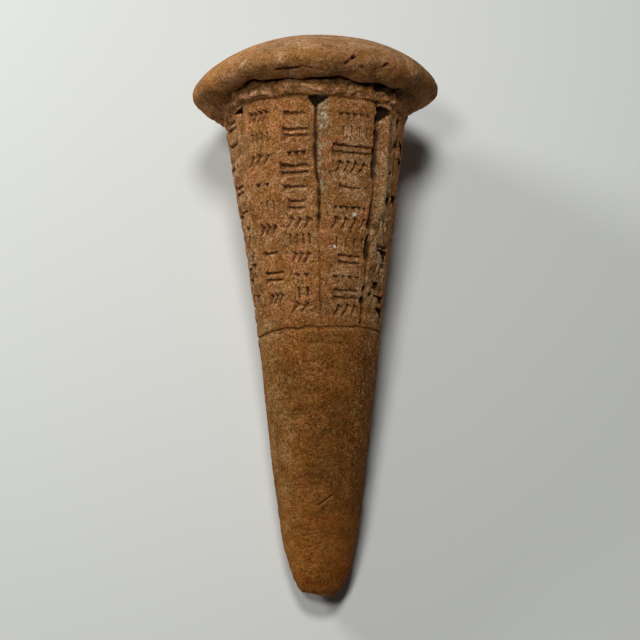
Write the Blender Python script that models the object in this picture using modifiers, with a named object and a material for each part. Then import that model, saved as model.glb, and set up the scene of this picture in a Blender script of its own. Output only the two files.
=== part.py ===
"""Clay foundation cone: one solid peg of fired clay with a mushroom head.

The peg is turned upright on its own axis, local Z, with its tip at zero and its
face (the side with the clearest writing) towards local -Y.  It is then pressed
out of round the way a potter's hand leaves it, ruled and nicked, and laid down
so that it lies on its rim and on the belly of its tip, head towards +Y.

All sizes are in metres and all angles in degrees.
"""

import math

import bmesh
import bpy
from mathutils import Euler, Matrix, Vector

PART_NAME = "clay_cone"
COLLECTION_NAME = "Clay foundation cone"

# Head: a shallow dome on a rounded lip.
RIM_RADIUS = 0.0290
RIM_STATION = 0.1180
DOME_HEIGHT = 0.0130
DOME_FULLNESS = 1.85
DOME_SHOULDER = 0.62
LIP_DROP = 0.0034
LIP_ROUNDING = 0.0026

# Neck: the underside of the head and the ridge of clay that welds it to the shaft.
NECK_RADIUS = 0.0222
NECK_STATION = 0.1145
COLLAR_RADIUS = 0.0220
COLLAR_STATION = 0.1127
COLLAR_GROOVE_RADIUS = 0.0211
COLLAR_GROOVE_STATION = 0.1110

# Shaft: radius of the plain outline at a few stations measured from the tip.
SHAFT_OUTLINE = (
    (0.0000, 0.0028),
    (0.0008, 0.0040),
    (0.0026, 0.0054),
    (0.0080, 0.0074),
    (0.0240, 0.0102),
    (0.0480, 0.0133),
    (0.0800, 0.0172),
    (0.1036, 0.0206),
    (0.1106, 0.0214),
)
TIP_ROUNDING_STATION = 0.0053
RING_STATION = 0.0605
RING_WIDTH = 0.0010
RING_DEPTH = 0.0004

# How far the underside of the head is pushed along the axis, round the neck.
# The face is undercut; the left side is filled down to the shaft.
NECK_SHIFT = (
    (-180.0, -0.0010),
    (-90.0, -0.0036),
    (-50.0, 0.0019),
    (0.0, 0.0019),
    (55.0, 0.0010),
    (90.0, -0.0012),
    (180.0, -0.0010),
)
NECK_SHIFT_FROM = 0.1040
LIP_SHIFT_RADIUS = 0.0274

# How far the bottom of the lip is pinched up towards the rim, round the head.
LIP_PINCH = (
    (-180.0, 0.0002),
    (-90.0, 0.0000),
    (0.0, 0.0000),
    (90.0, 0.0018),
    (180.0, 0.0002),
)
HEAD_LEAN = 0.020
SHAFT_OVAL = 0.006
SHAFT_OVAL_TURN = 52.0
RIM_LOBES = 0.004
RIM_LOBES_TURN = -29.0
SHAFT_BOW = 0.0003

# Writing field: rules pressed down the shaft, each with a stylus pit at its top,
# and between them rows of plain wedge strokes that spell nothing.
RULE_ANGLES = (-53.0, 0.0, 45.0, 92.0, 143.0, 195.0, 250.0)
RULE_BOTTOM = 0.0612
RULE_TOP = 0.1095
RULE_HALF_WIDTH = 0.00045
RULE_CENTRE_HEIGHT = 0.00008
RULE_POINTS = 7
PIT_STATION = 0.1106
PIT_LENGTH = 0.0030
PIT_HALF_WIDTH = 0.0015
PIT_DEPTH = 0.0010
STROKE_ROWS = 7
STROKE_TOP = 0.1060
STROKE_BOTTOM = 0.0660
STROKE_REACH = 0.30
STROKE_LENGTHS = (0.0046, 0.0034, 0.0052)
STROKE_HALF_WIDTH = 0.0007
STROKE_DEPTH = 0.0008

# Old damage: the broken tip, a chip in the rim and a nick in the lip.
TIP_BREAK_STATION = 0.0002
TIP_BREAK_TILT = (-7.0, 3.0)
TIP_SPALL_STATION = 0.0002
TIP_SPALL_OFFSET = 0.0042
TIP_SPALL_TILT = (0.0, -62.0)
RIM_CHIP_ANGLE = 88.0
RIM_CHIP_STATION = 0.1172
RIM_CHIP_RADIUS = 0.0016
RIM_CHIP_DEPTH = 0.0005
LIP_NICK_ANGLE = 17.0
LIP_NICK_RADIUS = 0.0270
LIP_NICK_SLOPE = -50.0
LIP_NICK_SKEW = -35.0
LIP_NICK_LENGTH = 0.0030
LIP_NICK_HALF_WIDTH = 0.0006
LIP_NICK_DEPTH = 0.0009

# Rest: the two worn flats that the peg lies on.
BELLY_STATION = 0.0080
RIM_FLAT_DEPTH = 0.00045
TIP_FLAT_DEPTH = 0.00025

# Steps round and along the outline.
TURN_STEPS = 72
DOME_STEPS = 12
LIP_STEPS = 5
UNDERSIDE_STEPS = 5
SHAFT_STEPS = 13
MERGE = 0.00005
BLOCK = 0.4

CLAY_COLOUR = (0.262, 0.118, 0.048, 1.0)
CLAY_ROUGHNESS = 0.92


def smooth(value):
    """Ease from 0 to 1 with no corner at either end."""
    value = min(max(value, 0.0), 1.0)
    return value * value * (3.0 - 2.0 * value)


def through(points, at):
    """Value at `at` of the soft curve through (place, value) points."""
    places = [place for place, _ in points]
    values = [value for _, value in points]
    if at <= places[0]:
        return values[0]
    if at >= places[-1]:
        return values[-1]
    i = max(k for k in range(len(places) - 1) if places[k] <= at)
    slopes = []
    for k in (i, i + 1):
        before = max(k - 1, 0)
        after = min(k + 1, len(places) - 1)
        slopes.append((values[after] - values[before]) / (places[after] - places[before]))
    step = places[i + 1] - places[i]
    t = (at - places[i]) / step
    left = values[i] * (1 + 2 * t) * (1 - t) ** 2 + slopes[0] * step * t * (1 - t) ** 2
    right = values[i + 1] * t * t * (3 - 2 * t) + slopes[1] * step * t * t * (t - 1)
    return left + right


def shaft_radius(station):
    return through(SHAFT_OUTLINE, station)


def round_the_peg(places, angle):
    """Push at this angle, easing from one (angle, push) place to the next."""
    for (start, low), (end, high) in zip(places, places[1:]):
        if start <= angle <= end:
            return low + (high - low) * smooth((angle - start) / (end - start))
    return places[0][1]


def dome_station(radius):
    """Height of the domed face of the head along the axis, at this radius."""
    fall = 1.0 - (radius / RIM_RADIUS) ** DOME_FULLNESS
    return RIM_STATION + DOME_HEIGHT * fall**DOME_SHOULDER


def dome_outline():
    """(radius, station) from the crown of the head out to the rim."""
    turns = [0.5 * math.pi * k / DOME_STEPS for k in range(DOME_STEPS)]
    radii = [RIM_RADIUS * math.sin(turn) for turn in turns]
    return [(radius, dome_station(radius)) for radius in radii]


def lip_outline():
    """The rounded lip, from the rim to the start of the underside."""
    points = []
    for k in range(LIP_STEPS + 1):
        turn = 0.5 * math.pi * k / LIP_STEPS
        radius = RIM_RADIUS - LIP_ROUNDING * (1.0 - math.cos(turn))
        points.append((radius, RIM_STATION - LIP_DROP * math.sin(turn)))
    return points


def neck_outline():
    """The underside of the head, the collar ridge and the groove below it."""
    start = RIM_RADIUS - LIP_ROUNDING
    level = RIM_STATION - LIP_DROP
    points = []
    for k in range(1, UNDERSIDE_STEPS + 1):
        t = k / UNDERSIDE_STEPS
        radius = start + (NECK_RADIUS - start) * t
        points.append((radius, level + (NECK_STATION - level) * t))
    points.append((COLLAR_RADIUS, COLLAR_STATION))
    points.append((COLLAR_GROOVE_RADIUS, COLLAR_GROOVE_STATION))
    return points


def shaft_outline():
    """The shaft from the top of the writing field to the tip, with its ring groove."""
    top = SHAFT_OUTLINE[-1][0]
    fall = (top - BELLY_STATION) / SHAFT_STEPS
    stations = [top - fall * k for k in range(SHAFT_STEPS + 1)]
    stations = [s for s in stations if abs(s - RING_STATION) > RING_WIDTH]
    half = 0.5 * RING_WIDTH
    stations += [RING_STATION + half, RING_STATION, RING_STATION - half]
    stations += [TIP_ROUNDING_STATION]
    stations += [station for station, _ in SHAFT_OUTLINE if station < BELLY_STATION]
    points = []
    for station in sorted(stations, reverse=True):
        groove = RING_DEPTH if station == RING_STATION else 0.0
        points.append((shaft_radius(station) - groove, station))
    return points


def turned_blank(collection):
    """The peg as thrown: its outline swept round the axis by a Screw."""
    outline = dome_outline() + lip_outline() + neck_outline() + shaft_outline() + [(0.0, 0.0)]
    edges = [(k, k + 1) for k in range(len(outline) - 1)]
    mesh = bpy.data.meshes.new("outline")
    mesh.from_pydata([(radius, 0.0, station) for radius, station in outline], edges, [])
    blank = bpy.data.objects.new("turned_blank", mesh)
    collection.objects.link(blank)
    screw = blank.modifiers.new("Turn", "SCREW")
    screw.axis = "Z"
    screw.angle = 2.0 * math.pi
    screw.steps = TURN_STEPS
    screw.render_steps = TURN_STEPS
    screw.use_merge_vertices = True
    screw.merge_threshold = MERGE
    return blank


def pressed_place(point):
    """Where a point of the turned blank ends up after the potter's hand."""
    radius = math.hypot(point.x, point.y)
    if radius < MERGE:
        return point.copy()
    turn = math.atan2(point.x, -point.y)
    station = point.z
    angle = math.degrees(turn)
    if station < RIM_STATION:
        on_shaft = smooth((station - NECK_SHIFT_FROM) / (NECK_STATION - NECK_SHIFT_FROM))
        under_head = smooth((LIP_SHIFT_RADIUS - radius) / (LIP_SHIFT_RADIUS - NECK_RADIUS))
        in_lip = smooth((RIM_STATION - station) / LIP_DROP)
        outside = smooth((radius - COLLAR_RADIUS) / (LIP_SHIFT_RADIUS - COLLAR_RADIUS))
        station += round_the_peg(NECK_SHIFT, angle) * on_shaft * under_head
        station += round_the_peg(LIP_PINCH, angle) * in_lip * outside
    in_head = smooth((point.z - NECK_STATION) / (RIM_STATION - NECK_STATION))
    station += HEAD_LEAN * point.x * in_head
    oval = math.cos(2.0 * turn + math.radians(SHAFT_OVAL_TURN))
    lobes = math.cos(3.0 * turn + math.radians(RIM_LOBES_TURN))
    radius *= 1.0 + SHAFT_OVAL * oval * (1.0 - in_head) + RIM_LOBES * lobes * in_head
    bow = SHAFT_BOW * math.sin(math.pi * min(point.z / NECK_SHIFT_FROM, 1.0))
    return Vector((radius * math.sin(turn) + bow, -radius * math.cos(turn), station))


def pressed_peg(blank, collection):
    """A closed mesh of the blank, pressed out of round."""
    depsgraph = bpy.context.evaluated_depsgraph_get()
    mesh = bpy.data.meshes.new_from_object(blank.evaluated_get(depsgraph))
    mesh.name = PART_NAME
    bm = bmesh.new()
    bm.from_mesh(mesh)
    bmesh.ops.remove_doubles(bm, verts=bm.verts, dist=MERGE)
    for vert in bm.verts:
        vert.co = pressed_place(vert.co)
    bmesh.ops.recalc_face_normals(bm, faces=bm.faces)
    bm.to_mesh(mesh)
    bm.free()
    bpy.data.objects.remove(blank)
    peg = bpy.data.objects.new(PART_NAME, mesh)
    collection.objects.link(peg)
    return peg


def on_surface(angle, station, height, radius):
    """Point in the peg's own frame, `height` above the given radius."""
    turn = math.radians(angle)
    out = radius + height
    return Vector((out * math.sin(turn), -out * math.cos(turn), station))


def surface_frame(angle, place, slope):
    """Frame on the surface: X round the peg, Y along it to the head, Z outwards."""
    turn = Matrix.Rotation(math.radians(angle), 4, "Z")
    upright = Matrix.Rotation(0.5 * math.pi, 4, "X")
    lie = Matrix.Rotation(-slope, 4, "X")
    return Matrix.Translation(place) @ turn @ upright @ lie


def field_frame(angle, station, skew):
    """Frame on the writing field, turned by `skew` in the surface."""
    place = pressed_place(on_surface(angle, station, 0.0, shaft_radius(station)))
    rise = shaft_radius(RULE_TOP) - shaft_radius(RULE_BOTTOM)
    slope = math.atan2(rise, RULE_TOP - RULE_BOTTOM)
    return surface_frame(angle, place, slope) @ Matrix.Rotation(math.radians(skew), 4, "Z")


def add_wedge(bm, frame, half_width, length, depth):
    """One stylus mark: a three-sided point sunk to `depth`, narrow towards -Y."""
    made = bmesh.ops.create_cone(
        bm, cap_ends=True, segments=3, radius1=0.0, radius2=1.0, depth=1.0
    )
    # A triangle in a unit circle is 1.5 long and sqrt(3) wide, and the mark's
    # outline on the surface is half the size of the cutter's top.
    stretch = (4.0 * half_width / math.sqrt(3.0), 2.0 * length / 1.5, 2.0 * depth, 1.0)
    bmesh.ops.transform(bm, matrix=frame @ Matrix.Diagonal(stretch), verts=made["verts"])


def cutter_from(name, bm, collection):
    """A hidden cutting tool made from the closed shapes in `bm`."""
    bmesh.ops.recalc_face_normals(bm, faces=bm.faces)
    mesh = bpy.data.meshes.new(name)
    bm.to_mesh(mesh)
    bm.free()
    cutter = bpy.data.objects.new(name, mesh)
    cutter.hide_render = True
    cutter.display_type = "WIRE"
    collection.objects.link(cutter)
    return cutter


def rule_bars(collection):
    """Round bars that follow the surface and leave the ruled lines."""
    curve = bpy.data.curves.new("rule_paths", "CURVE")
    curve.dimensions = "3D"
    curve.bevel_depth = RULE_HALF_WIDTH
    curve.bevel_resolution = 0
    curve.use_fill_caps = True
    for angle in RULE_ANGLES:
        spline = curve.splines.new("POLY")
        spline.points.add(RULE_POINTS - 1)
        for k, point in enumerate(spline.points):
            station = RULE_BOTTOM + (RULE_TOP - RULE_BOTTOM) * k / (RULE_POINTS - 1)
            place = pressed_place(on_surface(angle, station, RULE_CENTRE_HEIGHT, shaft_radius(station)))
            point.co = (*place, 1.0)
    guide = bpy.data.objects.new("rule_paths", curve)
    collection.objects.link(guide)
    depsgraph = bpy.context.evaluated_depsgraph_get()
    bars = bpy.data.meshes.new_from_object(guide.evaluated_get(depsgraph))
    bpy.data.objects.remove(guide)
    bm = bmesh.new()
    bm.from_mesh(bars)
    bmesh.ops.remove_doubles(bm, verts=bm.verts, dist=MERGE)
    return cutter_from("rules", bm, collection)


def rule_pits(collection):
    """The deep stylus mark at the top of each rule."""
    bm = bmesh.new()
    for angle in RULE_ANGLES:
        frame = field_frame(angle, PIT_STATION, 0.0)
        add_wedge(bm, frame, PIT_HALF_WIDTH, PIT_LENGTH, PIT_DEPTH)
    return cutter_from("pits", bm, collection)


def writing_strokes(collection):
    """Rows of wedge strokes across each column, their heads left and right in turn."""
    bm = bmesh.new()
    ends = [*RULE_ANGLES[1:], RULE_ANGLES[0] + 360.0]
    for column, (left, right) in enumerate(zip(RULE_ANGLES, ends)):
        middle = 0.5 * (left + right)
        for row in range(STROKE_ROWS):
            station = STROKE_TOP + (STROKE_BOTTOM - STROKE_TOP) * row / (STROKE_ROWS - 1)
            side = 1.0 if (row + column) % 2 else -1.0
            angle = middle + side * STROKE_REACH * 0.5 * (right - left)
            length = STROKE_LENGTHS[(row + 2 * column) % len(STROKE_LENGTHS)]
            frame = field_frame(angle, station, 90.0 * -side)
            add_wedge(bm, frame, STROKE_HALF_WIDTH, length, STROKE_DEPTH)
    return cutter_from("strokes", bm, collection)


def rim_chip(collection):
    """A ball that takes a small flake out of the rim."""
    stand_off = RIM_CHIP_RADIUS - RIM_CHIP_DEPTH
    centre = on_surface(RIM_CHIP_ANGLE, RIM_CHIP_STATION, stand_off, RIM_RADIUS)
    bm = bmesh.new()
    bmesh.ops.create_icosphere(bm, subdivisions=2, radius=RIM_CHIP_RADIUS)
    bmesh.ops.translate(bm, vec=centre, verts=bm.verts)
    return cutter_from("rim_chip", bm, collection)


def lip_nick(collection):
    """The slanting nick in the face of the lip."""
    place = on_surface(LIP_NICK_ANGLE, dome_station(LIP_NICK_RADIUS), 0.0, LIP_NICK_RADIUS)
    frame = surface_frame(LIP_NICK_ANGLE, place, math.radians(LIP_NICK_SLOPE))
    frame = frame @ Matrix.Rotation(math.radians(LIP_NICK_SKEW), 4, "Z")
    bm = bmesh.new()
    add_wedge(bm, frame, LIP_NICK_HALF_WIDTH, LIP_NICK_LENGTH, LIP_NICK_DEPTH)
    return cutter_from("lip_nick", bm, collection)


def block(name, frame, collection):
    """A large block that cuts away all that is below the frame's XY plane."""
    bm = bmesh.new()
    bmesh.ops.create_cube(bm, size=BLOCK)
    bmesh.ops.translate(bm, vec=(0.0, 0.0, -0.5 * BLOCK), verts=bm.verts)
    bmesh.ops.transform(bm, matrix=frame, verts=bm.verts)
    return cutter_from(name, bm, collection)


def plane_across(station, offset, tilt):
    """Frame of a plane across the tip, tilted about X and then about Y."""
    turn = Euler((math.radians(tilt[0]), math.radians(tilt[1]), 0.0))
    return Matrix.Translation((offset, 0.0, station)) @ turn.to_matrix().to_4x4()


def make_cutters(collection):
    """Every tool that works in the peg's own frame."""
    return [
        rule_bars(collection),
        rule_pits(collection),
        writing_strokes(collection),
        rim_chip(collection),
        lip_nick(collection),
        block("tip_break", plane_across(TIP_BREAK_STATION, 0.0, TIP_BREAK_TILT), collection),
        block(
            "tip_spall",
            plane_across(TIP_SPALL_STATION, TIP_SPALL_OFFSET, TIP_SPALL_TILT),
            collection,
        ),
    ]


def laid_down():
    """The peg's place when it lies with its rim and the belly of its tip on Z = 0."""
    rim_low = RIM_RADIUS - RIM_FLAT_DEPTH
    tip_low = shaft_radius(BELLY_STATION) - TIP_FLAT_DEPTH
    rise = math.atan2(rim_low - tip_low, RIM_STATION - BELLY_STATION)
    height = rim_low * math.cos(rise) - RIM_STATION * math.sin(rise)
    tip_to_head = Matrix.Rotation(rise - 0.5 * math.pi, 4, "X")
    return Matrix.Translation((0.0, 0.0, height)) @ tip_to_head


def clay_material():
    clay = bpy.data.materials.new("fired_clay")
    clay.use_nodes = True
    shader = clay.node_tree.nodes["Principled BSDF"]
    shader.inputs["Base Color"].default_value = CLAY_COLOUR
    shader.inputs["Roughness"].default_value = CLAY_ROUGHNESS
    shader.inputs["Metallic"].default_value = 0.0
    return clay


def cut(peg, name, cutter):
    boolean = peg.modifiers.new(name, "BOOLEAN")
    boolean.operation = "DIFFERENCE"
    boolean.solver = "EXACT"
    boolean.object = cutter


def centre_on_origin(objects, peg):
    """Slide everything level, so that the origin is under the middle of the peg's box."""
    bpy.context.view_layer.update()
    depsgraph = bpy.context.evaluated_depsgraph_get()
    solid = peg.evaluated_get(depsgraph).to_mesh()
    corners = [peg.matrix_world @ vert.co for vert in solid.vertices]
    slide = Vector((0.0, 0.0, 0.0))
    for axis in (0, 1):
        places = [corner[axis] for corner in corners]
        slide[axis] = -0.5 * (min(places) + max(places))
    for item in objects:
        item.matrix_world = Matrix.Translation(slide) @ item.matrix_world


def main():
    for item in list(bpy.data.objects):
        bpy.data.objects.remove(item)
    parts = bpy.data.collections.new(COLLECTION_NAME)
    cutters = bpy.data.collections.new("Cutters")
    bpy.context.scene.collection.children.link(parts)
    bpy.context.scene.collection.children.link(cutters)

    peg = pressed_peg(turned_blank(parts), parts)
    peg.data.materials.append(clay_material())
    tools = make_cutters(cutters)
    lying = laid_down()
    for item in [peg, *tools]:
        item.matrix_world = lying
    tools.append(block("ground", Matrix.Identity(4), cutters))
    for tool in tools:
        cut(peg, tool.name, tool)
    peg.data.shade_smooth()
    peg.data.set_sharp_from_angle(angle=math.radians(40.0))
    centre_on_origin([peg, *tools], peg)


main()
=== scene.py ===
import math

import bmesh
import bpy
import numpy as np
from mathutils import Euler, Matrix, Vector


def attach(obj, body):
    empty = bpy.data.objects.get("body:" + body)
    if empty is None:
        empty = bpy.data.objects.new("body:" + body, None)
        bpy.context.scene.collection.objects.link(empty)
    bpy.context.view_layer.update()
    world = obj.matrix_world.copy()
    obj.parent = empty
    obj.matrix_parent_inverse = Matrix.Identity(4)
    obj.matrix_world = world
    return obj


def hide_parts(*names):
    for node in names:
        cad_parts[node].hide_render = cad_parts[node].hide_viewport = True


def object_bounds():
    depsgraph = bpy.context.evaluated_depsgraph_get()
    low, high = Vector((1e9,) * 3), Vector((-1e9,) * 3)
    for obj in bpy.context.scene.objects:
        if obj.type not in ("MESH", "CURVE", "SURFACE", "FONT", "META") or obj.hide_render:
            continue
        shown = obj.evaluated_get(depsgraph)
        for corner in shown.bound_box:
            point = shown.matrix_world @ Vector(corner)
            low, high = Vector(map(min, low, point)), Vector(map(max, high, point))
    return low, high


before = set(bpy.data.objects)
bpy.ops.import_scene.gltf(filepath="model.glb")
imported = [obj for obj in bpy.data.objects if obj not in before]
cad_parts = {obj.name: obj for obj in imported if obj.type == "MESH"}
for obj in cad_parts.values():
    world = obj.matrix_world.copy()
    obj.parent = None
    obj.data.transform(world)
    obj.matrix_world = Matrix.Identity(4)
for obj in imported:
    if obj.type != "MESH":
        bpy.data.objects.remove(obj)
cadLow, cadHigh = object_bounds()
print("frame loaded")

# The cone is modelled upright in its own frame and laid down at the end: Z runs from the tip to the
# head, the written face looks along -Y, lengths are millimetres and angles are degrees round the axis.
mm = 0.001


def unit(value):
    return np.clip(value, 0.0, 1.0)


def ease(value):
    value = unit(value)
    return value * value * (3.0 - 2.0 * value)


def ramp(low, high, value):
    return ease((value - low) / (high - low))


def bell(value, wide):
    return np.exp(-((value / wide) ** 2))


def within(places, value):
    # rises between the first two places and falls between the last two
    away, start, end, far = places
    return ramp(away, start, value) * (1 - ramp(end, far, value))


def curveThrough(points, at):
    # soft curve through (place, value) points, flat past both ends
    places, values = np.array(points, float).T
    index = np.arange(len(places))
    before, after = np.maximum(index - 1, 0), np.minimum(index + 1, len(places) - 1)
    slopes = (values[after] - values[before]) / (places[after] - places[before])
    at = np.clip(at, places[0], places[-1])
    k = np.clip(np.searchsorted(places, at, side="right") - 1, 0, len(places) - 2)
    step = places[k + 1] - places[k]
    t = (at - places[k]) / step
    left = values[k] * (1 + 2 * t) * (1 - t) ** 2 + slopes[k] * step * t * (1 - t) ** 2
    right = values[k + 1] * t * t * (3 - 2 * t) + slopes[k + 1] * step * t * t * (t - 1)
    return left + right


def easeRound(places, turn):
    # eases from one (turn, push) place to the next
    turns, pushes = np.array(places, float).T
    k = np.clip(np.searchsorted(turns, turn) - 1, 0, len(turns) - 2)
    return pushes[k] + (pushes[k + 1] - pushes[k]) * ramp(turns[k], turns[k + 1], turn)


def cloud(points, size, seed):
    # soft lumps about this size, from -1 to 1
    cells, gain = 48, 1.6
    grid = np.random.default_rng(seed).uniform(-1.0, 1.0, (cells, cells, cells))
    place = points / size
    cell = np.floor(place).astype(int)
    part = ease(place - cell)
    total = np.zeros(len(points))
    for corner in np.ndindex(2, 2, 2):
        near = (cell + corner) % cells
        weight = np.prod(np.where(corner, part, 1.0 - part), axis=1)
        total += weight * grid[near[:, 0], near[:, 1], near[:, 2]]
    return total * gain


# the turned outline

cone = {
    "rimRadius": 29.0,
    "rimStation": 118.0,
    "domeHeight": 13.0,
    "domeFullness": 1.85,
    "domeShoulder": 0.62,
    "lipDrop": 3.4,
    "lipRounding": 2.6,
    "neck": (22.2, 114.5),
    "collar": (22.0, 112.7),
    "collarGroove": (21.1, 111.0),
    "shaft": [
        (0, 2.8), (0.8, 4.0), (2.6, 5.4), (8, 7.4), (24, 10.2),
        (48, 13.3), (80, 17.2), (103.6, 20.6), (110.6, 21.4),
    ],
    # lengths of the dome's and the lip's arcs, the first as a share of the rim's radius
    "domeArc": 1.25,
    "lipArc": 5.2,
    # spacing of the first, coarse net, which is then cut in two this many times
    "halvings": 2,
    "fieldBottom": 58.0,
    "fieldStep": 0.64,
    "plainStep": 1.0,
    "headStep": 1.15,
    "lipStep": 0.60,
    "tipRounding": 6.0,
    "tipStep": 0.55,
    "tipRings": 5,
    "poleRadius": 0.01,
    "poleMerge": 0.02,
    "columns": 128,
    "frontDensity": 0.45,
}


def domeStation(radius):
    fall = 1.0 - (radius / cone["rimRadius"]) ** cone["domeFullness"]
    return cone["rimStation"] + cone["domeHeight"] * fall ** cone["domeShoulder"]


def shaftRadius(station):
    return curveThrough(cone["shaft"], station)


def coneOutline():
    # (radius, station) from the crown of the head, round the lip, down the shaft and across the tip
    rim, level = cone["rimRadius"], cone["rimStation"]
    domeSteps = round(cone["domeArc"] * rim / cone["headStep"])
    points = [rim * math.sin(0.5 * math.pi * k / domeSteps) for k in range(domeSteps)]
    points = [(radius, domeStation(radius)) for radius in points]
    lipSteps = round(cone["lipArc"] / cone["lipStep"])
    for k in range(lipSteps + 1):
        turn = 0.5 * math.pi * k / lipSteps
        inwards = cone["lipRounding"] * (1.0 - math.cos(turn))
        points.append((rim - inwards, level - cone["lipDrop"] * math.sin(turn)))
    corners = [points[-1], cone["neck"], cone["collar"], cone["collarGroove"], cone["shaft"][-1][::-1]]
    for start, end in zip(corners, corners[1:]):
        count = max(2, round(math.dist(start, end) / cone["lipStep"]))
        for k in range(1, count + 1):
            points.append(tuple(a + (b - a) * k / count for a, b in zip(start, end)))
    station = cone["shaft"][-1][0]
    while station > cone["tipStep"]:
        if station > cone["fieldBottom"]:
            station -= cone["fieldStep"]
        else:
            station -= cone["plainStep"] if station > cone["tipRounding"] else cone["tipStep"]
        points.append((float(shaftRadius(station)), station))
    end, rings = cone["shaft"][0][1], cone["tipRings"]
    points += [(end * (1 - k / rings), 0.0) for k in range(rings + 1)]
    return points


def addObject(name, data):
    thing = bpy.data.objects.new(name, data)
    bpy.context.scene.collection.objects.link(thing)
    return thing


def turnedBlank():
    bm = bmesh.new()
    verts = [bm.verts.new((0.0, radius, station)) for radius, station in coneOutline()]
    edges = [bm.edges.new(pair) for pair in zip(verts, verts[1:])]
    bmesh.ops.spin(
        bm, geom=verts + edges, cent=(0, 0, 0), axis=(0, 0, 1), dvec=(0, 0, 0),
        angle=math.tau, steps=cone["columns"], use_merge=True,
    )
    poles = [v for v in bm.verts if v.co.xy.length < cone["poleRadius"]]
    bmesh.ops.remove_doubles(bm, verts=poles, dist=cone["poleMerge"])
    bmesh.ops.recalc_face_normals(bm, faces=bm.faces)
    mesh = bpy.data.meshes.new("turned_blank")
    bm.to_mesh(mesh)
    bm.free()
    blank = addObject("turned_blank", mesh)
    finer = blank.modifiers.new("Finer", "SUBSURF")
    finer.levels = finer.render_levels = cone["halvings"]
    fine = settledMesh(blank)
    bpy.data.objects.remove(blank)
    bpy.data.meshes.remove(mesh)
    return fine


def settledMesh(thing):
    # a new mesh with the thing's modifiers worked in
    depsgraph = bpy.context.evaluated_depsgraph_get()
    evaluated = thing.evaluated_get(depsgraph)
    return bpy.data.meshes.new_from_object(evaluated, preserve_all_data_layers=True, depsgraph=depsgraph)


def readValues(items, what, kind=np.float64, width=1):
    values = np.empty(len(items) * width, kind)
    items.foreach_get(what, values)
    return values.reshape(-1, width) if width > 1 else values


def writePoints(mesh, points):
    mesh.vertices.foreach_set("co", points.astype(np.float32).ravel())
    mesh.update()


def writeLayer(mesh, name, values):
    mesh.attributes.new(name, "FLOAT", "POINT").data.foreach_set("value", values.astype(np.float32))


# how the potter's hand pressed it out of round

pressed = {
    "neckShift": [(-180, -1.0), (-90, -3.6), (-50, 1.9), (0, 1.9), (55, 1.0), (90, -1.2), (180, -1.0)],
    "neckShiftFrom": 104.0,
    "lipShiftRadius": 27.4,
    "lipPinch": [(-180, 0.2), (-90, 0.0), (0, 0.0), (90, 1.8), (180, 0.2)],
    "headLean": 0.020,
    "shaftOval": 0.006,
    "shaftOvalTurn": 52.0,
    "rimLobes": 0.004,
    "rimLobesTurn": -29.0,
    "bow": 0.3,
}


def pressedPlaces(turn, radius, level):
    neckRadius, neckStation = cone["neck"]
    rimStation = cone["rimStation"]
    onShaft = ramp(pressed["neckShiftFrom"], neckStation, level)
    underHead = ramp(pressed["lipShiftRadius"], neckRadius, radius)
    inLip = ramp(rimStation, rimStation - cone["lipDrop"], level)
    outside = ramp(cone["collar"][0], pressed["lipShiftRadius"], radius)
    push = easeRound(pressed["neckShift"], turn) * onShaft * underHead
    push += easeRound(pressed["lipPinch"], turn) * inLip * outside
    station = level + np.where(level < rimStation, push, 0.0)
    inHead = ramp(neckStation, rimStation, level)
    angle = np.radians(turn)
    station += pressed["headLean"] * radius * np.sin(angle) * inHead
    oval = np.cos(2 * angle + math.radians(pressed["shaftOvalTurn"])) * (1 - inHead)
    lobes = np.cos(3 * angle + math.radians(pressed["rimLobesTurn"])) * inHead
    radius = radius * (1 + pressed["shaftOval"] * oval + pressed["rimLobes"] * lobes)
    bow = pressed["bow"] * np.sin(np.pi * np.minimum(level / pressed["neckShiftFrom"], 1.0))
    return np.stack([radius * np.sin(angle) + bow, -radius * np.cos(angle), station], axis=1)


# relief: every mark works on these arrays, one value for each vertex

# what the material reads from the mesh
clayLayers = ("lime", "hollowShadeGrime", "rawAndLit", "deepShadow", "paleAndLit", "stainAndShade", "dustyAndLit", "coarse")


class Clay:
    def __init__(self, points, turn, radius, level):
        self.points, self.turn, self.radius, self.level = points, turn, radius, level
        self.station = points[:, 2].copy()
        self.onDome = level >= cone["rimStation"]
        for name in ("height", "cut", "give", *clayLayers):
            setattr(self, name, np.zeros(len(turn)))

    def most(self, name, value, where=slice(None)):
        # the stronger of what is there and this
        layer = getattr(self, name)
        layer[where] = np.maximum(layer[where], value)

    # carving sinks the surface and also paints shade into the cut
    def carve(self, where, sunk, shade):
        self.most("cut", sunk, where)
        self.most("hollowShadeGrime", unit(shade), where)


def roundAway(turn, middle):
    # shortest way round from the middle, in degrees
    return (turn - middle + 180.0) % 360.0 - 180.0


stylus = {
    "headWidth": 0.88,
    "tailWidth": 0.38,
    "depth": 0.76,
    # the clay round a stroke gives way a little too: how wide and how deep
    "giveWide": 1.1,
    "giveDeep": 0.15,
    # the steep side of every stroke: how far off the middle it lies, and which way it faces
    "lean": 0.45,
    "steepSide": (-0.35, 0.94),
    # the painted shade at the foot of the steep side is at least this wide on each side
    "shadeGrimeHalf": 0.15,
    # the lit lip of a stroke gets a painted highlight: how far out, how wide, how much
    "lip": (0.14, 0.17, 0.75),
    "ragged": 0.26,
    "raggedSize": 0.8,
    # dents: how far they reach at most, outside which radius the lip begins, how much shallower the third
    # corner is, how ragged the edge, and how dark the painted shadow in a small stab is
    "wedgeReach": 4,
    "wedgeRadius": 24,
    "wedgeRise": 0.7,
    "wedgeRagged": (0.8, 0.04),
    "stabShadow": 0.48,
}


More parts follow.
